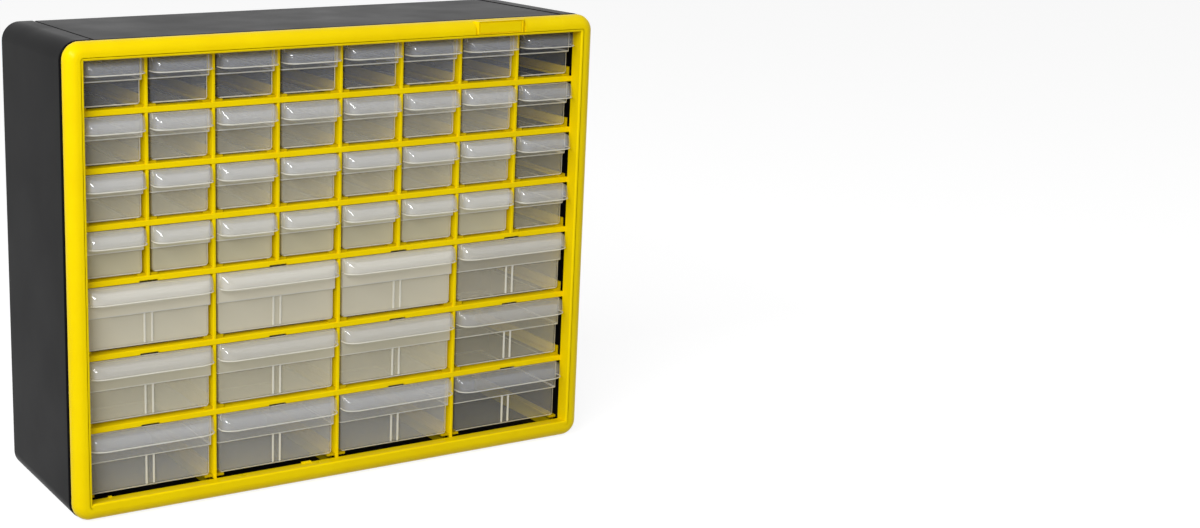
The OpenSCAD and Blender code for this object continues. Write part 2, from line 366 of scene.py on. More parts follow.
@dataclass(frozen=True)
class MouldedPlastic:
    """A thermoplastic part from an injection mould.

    Attributes:
        name: the material's name, for what it is and how it was made.
        colour: main colour.
        second: colour of the faint cloudiness that the flow in the mould leaves.
        edge: colour of thin edges, by the edge mask: painted shade on the charcoal.
        edge_share: how much of it thin edges take.
        roughness: mean roughness.
        roughness_spread: how far roughness strays from its mean.
        ior: index of refraction.
        shine: strength of its reflections, where 0.5 is what its index of refraction gives.
        cloud_mm: size of the cloudiness.
        grain_mm: size of the surface grain.
        grain_depth_mm: depth of that grain.
        alpha: 1 for opaque, less where things show through the wall.
    """

    name: str
    colour: str
    second: str
    edge: str
    edge_share: float
    roughness: float
    roughness_spread: float
    ior: float
    shine: float
    cloud_mm: float
    grain_mm: float
    grain_depth_mm: float
    alpha: float = 1.0

    def material(self) -> Material:
        """Builds the material on Object coordinates, which are the cabinet's own metres.

        Returns:
            The new material.
        """
        material, tree = new_material(self.name)
        place = add_node(tree, "ShaderNodeTexCoord").outputs["Object"]
        usual = {"From Min": 0.3, "From Max": 0.7}  # most of a noise's values lie between these
        cloud = add_node(tree, "ShaderNodeTexNoise",
                         {"Scale": 1 / (self.cloud_mm * MM), "Detail": 3.0}, {"Vector": place})
        spread = add_node(tree, "ShaderNodeMapRange", usual, {"Value": cloud.outputs["Fac"]})
        body = add_node(tree, "ShaderNodeMix",
                        {"A": linear(self.colour), "B": linear(self.second)},
                        {"Factor": spread.outputs["Result"]}, data_type="RGBA")
        # Thin edges take the edge colour by the mesh's edge mask: painted shade on the charcoal
        # housing.
        edge = add_node(tree, "ShaderNodeAttribute", attribute_name="edge_painted_light_and_shade")
        share = add_node(tree, "ShaderNodeMath", {1: self.edge_share}, {0: edge.outputs["Fac"]},
                         operation="MULTIPLY", use_clamp=True)
        colour = add_node(tree, "ShaderNodeMix", {"B": linear(self.edge)},
                          {"Factor": share.outputs[0], "A": body.outputs["Result"]},
                          data_type="RGBA")
        grain = add_node(tree, "ShaderNodeTexNoise",
                         {"Scale": 1 / (self.grain_mm * MM), "Detail": 2.0}, {"Vector": place})
        rough = add_node(tree, "ShaderNodeMapRange",
                         {**usual, "To Min": self.roughness - self.roughness_spread,
                          "To Max": self.roughness + self.roughness_spread},
                         {"Value": cloud.outputs["Fac"]})
        bump = add_node(tree, "ShaderNodeBump",
                        {"Strength": 0.6, "Distance": self.grain_depth_mm * MM},
                        {"Height": grain.outputs["Fac"]})
        shader = add_node(tree, "ShaderNodeBsdfPrincipled",
                          {"IOR": self.ior, "Specular IOR Level": self.shine,
                           "Alpha": self.alpha},
                          {"Base Color": colour.outputs["Result"],
                           "Roughness": rough.outputs["Result"],
                           "Normal": bump.outputs["Normal"]})
        add_node(tree, "ShaderNodeOutputMaterial", links={"Surface": shader.outputs["BSDF"]})
        return material


# Glossy high-impact polystyrene from a polished mould: a strong yellow with soft, pale
# highlights and the faintest orange peel.
YELLOW_STYRENE = MouldedPlastic(
    name="glossy_moulded_polystyrene_yellow", colour="#F6D900", second="#F2D200",
    edge="#F8E020", edge_share=0.2, roughness=0.3, roughness_spread=0.03, ior=1.55, shine=0.05,
    cloud_mm=35.0, grain_mm=2.2, grain_depth_mm=0.004)
# The same plastic on the rails, whose mould was left as machined, so rougher. Their darker yellow
# is painted shade, because the rails lie in shade inside the cabinet.
RAIL_STYRENE = MouldedPlastic(
    name="polystyrene_yellow_painted_shade", colour="#CCB204", second="#C2A800",
    edge="#CCB204", edge_share=0.0, roughness=0.42, roughness_spread=0.05, ior=1.55, shine=0.05,
    cloud_mm=25.0, grain_mm=1.2, grain_depth_mm=0.02)
# Charcoal polystyrene from a spark-eroded mould. Its real grain is about 0.3 mm and would
# vanish at this distance, so it is drawn at 1.1 mm.
# Its darker edge colour is painted shade at the housing's front lip, in the gap behind the frame.
CHARCOAL_STYRENE = MouldedPlastic(
    name="spark_textured_polystyrene_charcoal", colour="#121213", second="#161617",
    edge="#0F0F10", edge_share=0.7, roughness=0.34, roughness_spread=0.04, ior=1.52, shine=0.02,
    cloud_mm=60.0, grain_mm=1.1, grain_depth_mm=0.03)
# The thin edges of the polypropylene drawers, where light that runs inside the walls comes out:
# lips, steps, rims, ribs and corners are painted paler and more solid than the walls, as painted
# glow and painted highlights.
EDGE_POLYPROPYLENE = MouldedPlastic(
    name="polypropylene_edge_painted_glow", colour="#F2F0E6", second="#ECEADF",
    edge="#F2F0E6", edge_share=0.0, roughness=0.16, roughness_spread=0.02, ior=1.49, shine=0.3,
    cloud_mm=22.0, grain_mm=6.0, grain_depth_mm=0.001, alpha=0.62)


@dataclass(frozen=True)
class MilkyPolypropylene:
    """Natural polypropylene from a polished mould: milky, and things behind show through it.

    The trays' warm tint is painted yellow bounce light from the frame and rails around them,
    and the hoods have none. Each row is a lit or shaded copy of the same plastic: its colours
    and alphas are painted light and shade. Alpha thins a surface's gloss with the rest of it, so
    the hoods, whose gloss shows most, get a higher index of refraction than polypropylene's 1.49.

    Attributes:
        row: the row of drawers it is for, 1 at the top; its light and shade are painted in.
        tray_colour: milky colour of the trays, with painted yellow bounce light.
        tray_alpha: how much of what is behind it each face of a tray's wall hides.
        hood_colour: milky colour of the hoods.
        hood_alpha: how much of what is behind it each face of a hood hides.
        last_drawer_painted_shade: how much of both alphas the row's last drawer has, which makes
            it more see-through and darker: painted shade beside the housing's side.
        tray_ior: index of refraction of the trays.
        tray_shine: strength of their reflections.
        hood_ior: index of refraction of the hoods.
        hood_shine: strength of their reflections.
        band_walls: how many walls of a tray the rim band's face is as opaque as: painted light
            against the hood's shade.
    """

    row: int
    tray_colour: str
    tray_alpha: float
    hood_colour: str
    hood_alpha: float
    last_drawer_painted_shade: tuple[float, float] = (0.45, 0.77)
    tray_ior: float = 1.49
    tray_shine: float = 0.25
    hood_ior: float = 1.9
    hood_shine: float = 1.0
    band_walls: float = 1.8

    def materials(self, last: bool) -> list[Material]:
        """Builds this row's materials for its trays, hoods and rim bands, whose extra opacity is
        painted light.

        Args:
            last: whether they are for the row's last drawer.

        Returns:
            The materials in slot order.
        """
        # The row's last drawer is more see-through and so darker: painted shade beside the
        # housing's side.
        share = self.last_drawer_painted_shade if last else (1.0, 1.0)
        place = f"row{self.row}_end" if last else f"row{self.row}"
        tray_alpha, hood_alpha = self.tray_alpha * share[0], self.hood_alpha * share[1]
        # The band's face is more opaque than the tray's wall: painted light against the hood's
        # shade.
        band_alpha = 1 - (1 - tray_alpha) ** self.band_walls
        parts = (("tray", self.tray_colour, tray_alpha, self.tray_ior, self.tray_shine),
                 ("hood", self.hood_colour, hood_alpha, self.hood_ior, self.hood_shine),
                 ("band", self.tray_colour, band_alpha, self.tray_ior, self.tray_shine))
        return [MouldedPlastic(
            name=f"milky_moulded_polypropylene_{part}_{place}", colour=colour, second=colour,
            edge=colour, edge_share=0.0, roughness=0.09, roughness_spread=0.01, ior=ior,
            shine=shine, cloud_mm=22.0, grain_mm=6.0, grain_depth_mm=0.001, alpha=alpha,
        ).material() for part, colour, alpha, ior, shine in parts]


# The same plastic in every row: the rows' colours and alphas are painted light and shade, with the
# top and bottom rows darker and the middle ones lighter.
ROW_PAINTED_LIGHT_AND_SHADE = (
    MilkyPolypropylene(1, "#D4D8E2", 0.08, "#DCE0EA", 0.11),
    MilkyPolypropylene(2, "#F2EEDC", 0.16, "#D6DAE4", 0.20),
    MilkyPolypropylene(3, "#F6F0D6", 0.23, "#D6DAE4", 0.24),
    MilkyPolypropylene(4, "#F6EFCE", 0.32, "#D8DBE3", 0.25),
    MilkyPolypropylene(5, "#F6F0DA", 0.42, "#E4E3DD", 0.32),
    MilkyPolypropylene(6, "#F4EED4", 0.29, "#DCDCDD", 0.22),
    MilkyPolypropylene(7, "#EAEAE6", 0.165, "#DCDEE3", 0.16),
)


# ---------------------------------------------------------------- sub-assemblies


@dataclass
class Housing:
    """The moulded shell that everything sits in: closed behind, open in front.

    The section is a rounded rectangle. Its relief is how far the middle panel of the top and
    the two grooves beside it lie below the side bands.

    Attributes:
        half_width: half its width.
        height: its height.
        corner_radius: radius of its four long corners.
        wall: thickness.
        front: depth of its front edge.
        back: depth of its back.
        back_edge_radius: radius of the edges round the back.
        inner_bevel: bevel inside, where the walls meet the back.
        groove_outer_x: distance of a groove's outer side from the middle.
        groove_width: width of a groove.
        groove_depth: depth of a groove.
        panel_drop: how far the middle panel lies below the bands.
    """

    half_width: float = 254.0
    height: float = 402.0
    corner_radius: float = 16.0
    wall: float = 2.6
    front: float = 14.0
    back: float = 158.0
    back_edge_radius: float = 2.0
    inner_bevel: float = 0.6
    groove_outer_x: float = 226.0
    groove_width: float = 2.4
    groove_depth: float = 1.9
    panel_drop: float = 0.3

    def section(self) -> tuple[Array, Array, Array]:
        """Outline of the housing seen from the front.

        Quarter circles join straight sides, and the top has extra points where its relief
        changes.

        Returns:
            (k, 2) points, (k, 2) outward normals and (k,) relief.
        """
        r, w, h = self.corner_radius, self.half_width, self.height
        turn = arc(0, 90, 10)
        # Across a groove: its eased outer lip, its floor, and the eased edge of the panel.
        across = np.array([1.2, 0.3, -0.05, -0.2, 0.25, -0.1, -0.6])
        across[4:] -= self.groove_width
        groove_x = self.groove_outer_x + across
        groove = -np.array([0.0, 0.12, 0.5, self.groove_depth, self.groove_depth,
                            self.panel_drop + 0.1, self.panel_drop])
        panel_x = np.array([100.0, 0.0, -100.0])
        top_x = np.concatenate([groove_x, panel_x, -groove_x[::-1]])
        top_drop = np.concatenate([groove, np.full(3, -self.panel_drop), groove[::-1]])
        centres = ((w - r, h - r), (r - w, h - r), (r - w, r), (w - r, r))
        runs, normals, drops = [], [], []
        for quarter, (cx, cz) in enumerate(centres):
            a = turn + quarter * QUARTER
            out = np.stack([np.cos(a), np.sin(a)], axis=-1)
            runs.append(np.array([cx, cz]) + r * out)
            normals.append(out)
            drops.append(np.zeros(len(a)))
            if quarter == 0:
                runs.append(np.stack([top_x, np.full(len(top_x), h)], axis=-1))
                normals.append(np.tile([0.0, 1.0], (len(top_x), 1)))
                drops.append(top_drop)
        return np.concatenate(runs), np.concatenate(normals), np.concatenate(drops)

    def surface(self) -> Surface:
        """The outline carried front to back, outside and inside, with rounded edges.

        A station is a depth, an inset from the outline and a share of the top's relief. They
        run from the inside of the back wall forwards, over the front edge, and back outside.

        Returns:
            The closed shell, hollow and open in front.
        """
        points, normals, relief = self.section()
        lip, tail = arc(180, 0, 8), arc(0, 90, 6)
        half, r = self.wall / 2, self.back_edge_radius
        inner_back, bevel = self.back - self.wall, self.inner_bevel
        depth = np.concatenate([[inner_back, inner_back - bevel, self.front + half + 2],
                                self.front + half - half * np.sin(lip),
                                [self.front + 3], self.back - r + r * np.sin(tail)])
        inset = np.concatenate([[self.wall + bevel, self.wall, self.wall],
                                half - half * np.cos(lip), [0.0], r - r * np.cos(tail)])
        share = np.concatenate([[0, 0, 0], (1 + np.cos(lip)) / 2, [1], np.ones(len(tail))])
        offset = share[:, None] * relief[None, :] - inset[:, None]
        flat = points[None] + normals[None] * offset[..., None]
        # The front lip and back edges take the charcoal's darker edge colour: painted shade at the
        # front lip, in the gap behind the frame.
        at_edge = (depth < self.front + half) | (depth > self.back - 0.8 * r)
        rim = np.broadcast_to(at_edge[:, None].astype(float), flat.shape[:2])
        return Surface.from_rings(set_back(flat, depth), Ends.CAP, rim)

    def build(self) -> Piece:
        """Makes the housing, which stands for its CAD node.

        Returns:
            The dressed piece.
        """
        piece = joined([self.surface()]).to_piece("housing_shell", [CHARCOAL_STYRENE.material()])
        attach(piece, "cabinet")
        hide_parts("housing")
        return piece


@dataclass
class FrontFrame:
    """The yellow front moulding: rounded border, grid of bars, blank plate and sill tabs.

    Attributes:
        half_width: half the border's width.
        bottom: height of its lower side.
        top: height of its upper side.
        border: width of its face.
        sill_extra: how much wider the face is along the sill.
        shoulder: radius of its outer edge.
        inner_edge: radius of its inner edge.
        flange_back: depth of the flange that covers the housing's front edge.
        flange_edge: radius of the flange's edge.
        neck_inset: distance of the neck, which slips into the housing, from the outer side.
        neck_thickness: thickness of the neck.
        neck_back: depth of the neck's end.
        window_back: depth of the wall round the window.
        window_draft: how far that wall leans outwards to the back.
        sill_fall: how far the sill falls to the back.
        inner_wall: thickness of the wall round the window.
        skin: thickness of the face.
        grid_front: depth of the bars' front.
        bar_back: depth of their back.
        bar_height: height of a cross bar.
        bar_edge: radius of its edges.
        bite: how far bars run into what they meet.
        upright_width: width of an upright.
        upright_relief: how far it lies behind the cross bars' front.
        upright_edge: radius of its edges.
        notch_width: width of the notch over a large drawer.
        notch_height: height of that notch.
        notch_edge: width of its slanted sides.
        plate_x: left and right side of the name plate.
        plate_z: its lower and upper side.
        plate_seat: how far the border is let in behind it.
        plate_lap: how far it covers the border round that seat.
        tabs: middle, width and height of each locating tab on the sill.
        tab_depth: depth of those tabs.
    """

    half_width: float = 253.2
    bottom: float = 1.0
    top: float = 401.7
    border: float = 14.8
    sill_extra: float = 1.0
    shoulder: float = 10.0
    inner_edge: float = 1.5
    flange_back: float = 11.5
    flange_edge: float = 0.5
    neck_inset: float = 2.6
    neck_thickness: float = 2.4
    neck_back: float = 20.0
    window_back: float = 14.9
    window_draft: float = 0.8
    sill_fall: float = 1.7
    inner_wall: float = 2.0
    skin: float = 3.2
    grid_front: float = 14.5
    bar_back: float = 26.5
    bar_height: float = 5.0
    bar_edge: float = 0.8
    bite: float = 0.4
    upright_width: float = 2.8
    upright_relief: float = 0.3
    upright_edge: float = 0.6
    notch_width: float = 17.0
    notch_height: float = 1.2
    notch_edge: float = 0.3
    plate_x: tuple[float, float] = (125.2, 178.0)
    plate_z: tuple[float, float] = (388.9, 401.2)
    plate_seat: float = 2.0
    plate_lap: float = 0.4
    tabs: tuple[tuple[float, float, float], ...] = ((-218.0, 3.0, 1.2), (-32.0, 9.0, 1.4))
    tab_depth: float = 2.5

    @property
    def sill(self) -> float:
        """Height of the sill at its back."""
        return self.bottom + self.border + self.sill_extra - self.sill_fall

    def border_section(self) -> tuple[Array, Array, Array]:
        """Section of the border: (k, 2) of distance in from the outer side and depth.

        A quarter circle is the shoulder, a small one the inner edge, and short ones ease the
        flange. The window opens a little to the back, and more so over the sill. A point's
        share says how far it goes with the wider sill: 1 is inwards by all of sill_extra.

        Returns:
            The closed outline, the share of each point, and 1 for those the name plate covers.
        """
        r, q, e = self.shoulder, self.inner_edge, self.flange_edge
        rear, neck_inner = self.border - self.window_draft, self.neck_inset + self.neck_thickness
        a, b, c = arc(0, 90, 14), arc(0, 90, 6), arc(0, 90, 3)
        shoulder = np.stack([r - r * np.cos(a), r - r * np.sin(a)], axis=-1)
        seat, lap = self.top - self.plate_z[0], self.plate_lap
        crown = np.array([[seat - lap, 0.0], [seat - lap / 2, 0.0], [self.border - q - 1.2, 0.0]])
        inner = np.stack([self.border - q + q * np.sin(b), q - q * np.cos(b)], axis=-1)
        behind = np.array([
            [rear, self.window_back - 0.3], [rear - 0.3, self.window_back],
            [rear - self.inner_wall, self.window_back], [self.border - self.inner_wall, self.skin],
            [neck_inner, self.skin], [neck_inner, self.neck_back],
            [self.neck_inset, self.neck_back], [self.neck_inset, self.flange_back]])
        flange = np.stack([e - e * np.sin(c), self.flange_back - e + e * np.cos(c)], axis=-1)
        rear_share = 1 - (self.sill_fall - self.window_draft) / self.sill_extra
        share = np.concatenate([np.zeros(len(a) + 2), np.ones(1 + len(b)), [rear_share] * 3,
                                [1.0], np.zeros(4 + len(c))])
        covered = np.zeros(len(share))
        covered[4:len(a) + 1] = 1.0
        return np.concatenate([shoulder, crown, inner, behind, flange]), share, covered

    def border_surface(self) -> Surface:
        """The section carried round the window, turning about the window's four corners.

        A point at distance d in from the outer side lies at corner + (border - d) * outward,
        and along the sill the inner points lie their share of sill_extra further in. Four
        stations on the top let the border in behind the name plate.

        Returns:
            The closed ring.
        """
        section, share, covered = self.border_section()
        low, high = self.bottom + self.border, self.top - self.border
        side, lap = self.half_width - self.border, self.plate_lap
        left, right = self.plate_x
        turn = arc(0, 90, 12)
        angle = np.concatenate([-QUARTER + turn, turn, [QUARTER] * 4, QUARTER + turn,
                                2 * QUARTER + turn, [3 * QUARTER] * 2])
        steps = len(turn)
        seat = np.array([right - lap / 2, right - lap, left + lap, left + lap / 2])
        pivot_x = np.concatenate([np.full(2 * steps, side), seat, np.full(2 * steps, -side),
                                  [-side, side]])
        pivot_z = np.concatenate([np.full(steps, low), np.full(2 * steps + 4, high),
                                  np.full(steps + 2, low)])
        extra = np.concatenate([np.zeros(4 * steps + 4), [self.sill_extra] * 2])
        let_in = np.zeros(len(angle))
        let_in[2 * steps + 1:2 * steps + 3] = self.plate_seat
        reach = self.border - section[None, :, 0] - extra[:, None] * share[None, :]
        x = pivot_x[:, None] + reach * np.cos(angle)[:, None]
        z = pivot_z[:, None] + reach * np.sin(angle)[:, None]
        y = section[None, :, 1] + let_in[:, None] * covered[None, :]
        return Surface.from_rings(np.stack([x, y, z], axis=-1), Ends.LOOP)

    def plate(self) -> Surface:
        """The blank name plate on the top border: sloping ends, a rim, a groove and a panel.

        Rounded rectangles in (x, height), each at its own depth, run from behind, up the
        slopes, over the rim, through the groove and up to the panel.

        Returns:
            The closed plate.
        """
        depth = np.array([4.9, 4.2, 0.5, 0.12, 0.05, 0.05, 0.15, 1.0, 1.1, 1.0, 0.45, 0.35, 0.35])
        in_x = np.array([0.0, 0.0, 2.6, 2.9, 3.2, 3.7, 3.8, 3.9, 4.3, 4.7, 4.8, 5.0, 6.0])
        in_z = np.array([0.0, 0.0, 0.1, 0.2, 0.4, 0.7, 0.8, 0.9, 1.3, 1.7, 1.8, 2.0, 3.0])
        inset = np.stack([in_x, in_z], axis=-1)
        low = np.array([[self.plate_x[0], self.plate_z[0]]]) + inset
        high = np.array([[self.plate_x[1], self.plate_z[1]]]) - inset
        rings = rounded_rings(low, high, np.full(len(depth), 0.5), steps=3)
        return Surface.from_rings(set_back(rings, depth))

    def sill_tabs(self) -> list[Surface]:
        """The two small locating tabs on the sill, under the lowest row."""
        z, back = self.sill, self.window_back
        return [bar(Along.X, x - w / 2, x + w / 2, (back - self.tab_depth, z - 1), (back, z + h),
                    radius=0.4) for x, w, h in self.tabs]

    def cross_bars(self) -> Surface:
        """Six bars across the window, notched underneath over each large drawer.

        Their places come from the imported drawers: a bar lies over each row but the first.

        Returns:
            The closed bars.
        """
        side = self.half_width - self.border + self.window_draft + self.bite
        half, edge, rise = self.notch_width / 2, self.notch_edge, self.notch_height
        steps = np.array([[-half, 0.0], [edge - half, rise], [half - edge, rise], [half, 0.0]])
        bars = []
        for row in range(2, ROWS + 1):
            z = row_top(row)
            lifts = None
            if row > SMALL_ROWS:
                columns = range(1, columns_in(row) + 1)
                centres = np.array([drawer_centre(row, column) for column in columns])
                lifts = np.stack([(centres[:, None] + steps[None, :, 0]).ravel(),
                                  np.tile(steps[:, 1], len(centres))], axis=-1)
            bars.append(bar(Along.X, -side, side, (self.grid_front, z),
                            (self.bar_back, z + self.bar_height), self.bar_edge, lifts))
        return joined(bars)

    def uprights(self) -> Surface:
        """The thin upright bars between neighbouring drawers, one for each row and gap.

        Returns:
            The closed bars.
        """
        half = self.upright_width / 2
        front, back = self.grid_front + self.upright_relief, self.bar_back - self.upright_relief
        bars = []
        for row in range(1, ROWS + 1):
            below = row_top(row + 1) + self.bar_height if row < ROWS else self.sill
            low, high = below - self.bite, row_top(row) + self.bite
            for column in range(1, columns_in(row)):
                x = (drawer_centre(row, column) + drawer_centre(row, column + 1)) / 2
                bars.append(bar(Along.Z, low, high, (x - half, front), (x + half, back),
                                self.upright_edge))
        return joined(bars)

    def build(self) -> list[Piece]:
        """Makes the border with its plate and tabs, the cross bars and the uprights.

        Returns:
            The three dressed pieces.
        """
        finish = YELLOW_STYRENE.material()
        border = joined([self.border_surface(), self.plate(), *self.sill_tabs()])
        parts = (("border_moulding", "front_border", border),
                 ("cross_bar_mouldings", "grid_cross_bars", self.cross_bars()),
                 ("upright_mouldings", "grid_uprights", self.uprights()))
        pieces = []
        for name, node, surface in parts:
            piece = surface.to_piece(name, [finish])
            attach(piece, "cabinet")
            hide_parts(node)
            pieces.append(piece)
        return pieces


def columns_in(row: int) -> int:
    """How many drawers a row of the cabinet holds."""
    return SMALL_COLUMNS if row <= SMALL_ROWS else LARGE_COLUMNS


def drawer_node(row: int, column: int) -> str:
    """Gives the name of a drawer's CAD node.

    Args:
        row: its row in the cabinet, 1 at the top.
        column: its column, 1 at the left.

    Returns:
        The node's name.
    """
    if row <= SMALL_ROWS:
        return f"small_drawer_r{row}c{column}"
    return f"large_drawer_r{row - SMALL_ROWS}c{column}"


def drawer_centre(row: int, column: int) -> float:
    """X of a drawer's middle, in millimetres."""
    low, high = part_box(drawer_node(row, column))
    return (low[0] + high[0]) / 2 / MM


def row_top(row: int) -> float:
    """Height of the underside of the bar over a row: the drawers' tops and the gap over them."""
    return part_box(drawer_node(row, 1))[1][2] / MM + DRAWER_GAP


@dataclass
class RunnerRails:
    """The rails that carry the drawers. Their CAD solids are right, and get their finish."""

    rows: int = ROWS

    def dress(self) -> list[Piece]:
        """Gives each row of rails its finish.

        Returns:
            The dressed CAD objects.
        """
        # A darker yellow than the frame: painted shade.
        finish = RAIL_STYRENE.material()
        dressed = []
        for row in range(1, self.rows + 1):
            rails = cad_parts[f"runner_rails_row{row}"]
            for place in rails.material_slots:
                place.material = finish
            dressed.append(rails)
        return dressed


class DrawerSlot(Enum):
    """The finishes of a drawer's piece, in the order of its material slots."""

    TRAY = 0
    HOOD = 1
    BAND = 2


@dataclass
class PullHood:
    """The hooded finger pull across the top of a drawer's front.

    Attributes:
        half_width: half the hood's width.
        reach: how far it stands out from the drawer's face.
        radius: radius of its rounded top.
        drop: height from the rim to its lip.
        wall: thickness.
        corner: half-axes of its plan corners at the lip, along and across the drawer.
        side_edge: radius between its top and its ends.
        bead: how far the lip's bead stands out.
        bead_radius: radius of that bead.
        seat: how far it is set into the drawer's face.
    """

    half_width: float
    reach: float = 14.0
    radius: float = 10.5
    drop: float = 13.1
    wall: float = 1.4
    corner: tuple[float, float] = (11.0, 8.5)
    side_edge: float = 2.0
    bead: float = 0.4
    bead_radius: float = 0.55
    seat: float = 0.5

    def profile(self) -> tuple[Array, Array, Array, Array]:
        """Side view of the shell, once round: out over the top, down, and back inside.

        The outside is flat, then a quarter circle, then upright to a beaded lip. The inside is
        the same one wall further in.

        Returns:
            Reach in front of the seat, height below the rim, inset of the ends, and edge share.
        """
        out, t, r, b = self.bead, self.wall, self.radius, self.bead_radius
        full = self.reach + self.seat
        flat = full - out - r
        turn, lip = arc(0, 90, 16), arc(150, -90, 8)
        back = turn[::-1]
        lip_reach = full - b + b * np.cos(lip)
        reach = np.concatenate([
            [0, flat / 2], flat + r * np.sin(turn), lip_reach,
            [full - out - t], flat + (r - t) * np.sin(back), [flat / 2, 0]])
        height = np.concatenate([
            [0, 0], -r + r * np.cos(turn), b - self.drop + b * np.sin(lip),
            [-self.drop + 0.5], -r + (r - t) * np.cos(back), [-t, -t]])
        over, under = 2 + len(turn), 3 + len(turn)
        side = np.concatenate([round_inset(-height[:over], self.side_edge) + out,
                               full - lip_reach, np.full(under, t + out)])
        # The lip and its bead are pale: a painted glow and highlight along the lip.
        glow = np.concatenate([np.zeros(over), [0.4, 0.8, 1, 1, 1, 1, 1, 1, 0.8],
                               np.zeros(under)])
        return reach, height, side, glow

    def surface(self, centre_x: float, rim_z: float, face_y: float) -> Surface:
        """The side view carried round the plan of the hood, from its left end to its right.

        At reach b the plan is a straight end, a quarter ellipse whose half-axes are the
        corner's times b over the full reach, and a straight front. Each point is
        (cx + ax cos a, cy + ay sin a), so the corners draw in towards the top.

        Args:
            centre_x: middle of the drawer.
            rim_z: height of its rim.
            face_y: depth of its face.

        Returns:
            The closed shell.
        """
        reach, height, side, glow = self.profile()
        share = np.clip(reach / (self.reach + self.seat), 0, 1)
        ax, ay = self.corner[0] * share, self.corner[1] * share
        half = self.half_width - side
        turn = arc(180, 270, 12)
        ends = np.linspace(0, 1, 4)[:, None]
        left_y = -ends * (reach - ay)[None]
        corner_x = -half[None] + ax[None] * (1 + np.cos(turn))[:, None]
        corner_y = -(reach - ay)[None] + ay[None] * np.sin(turn)[:, None]
        across = np.linspace(-1, 1, 9)[1:-1, None]
        front_x = across * (half - ax)[None]
        x = np.concatenate([np.broadcast_to(-half, left_y.shape), corner_x[1:], front_x,
                            -corner_x[:0:-1], np.broadcast_to(half, left_y.shape)])
        y = np.concatenate([left_y, corner_y[1:], np.broadcast_to(-reach, front_x.shape),
                            corner_y[:0:-1], left_y[::-1]])
        z = np.broadcast_to(height, x.shape)
        rings = np.stack([centre_x + x, face_y + self.seat + y, rim_z + z], axis=-1)
        pale = np.broadcast_to(glow, x.shape).copy()
        # The edges where the ends turn into the corners are pale too, down the rounded top:
        # painted highlights.
        first = len(ends)
        pale[[first, first + 1, -first - 2, -first - 1], 2:12] = 1.0
        return Surface.from_rings(rings, Ends.CAP, pale, DrawerSlot.HOOD.value)


# Places in a tray's stack of rings: where its foot ends, its band's face and its rim's inside.
FOOT_END, BAND_FACE, OUTSIDE_END = 5, 18, 26


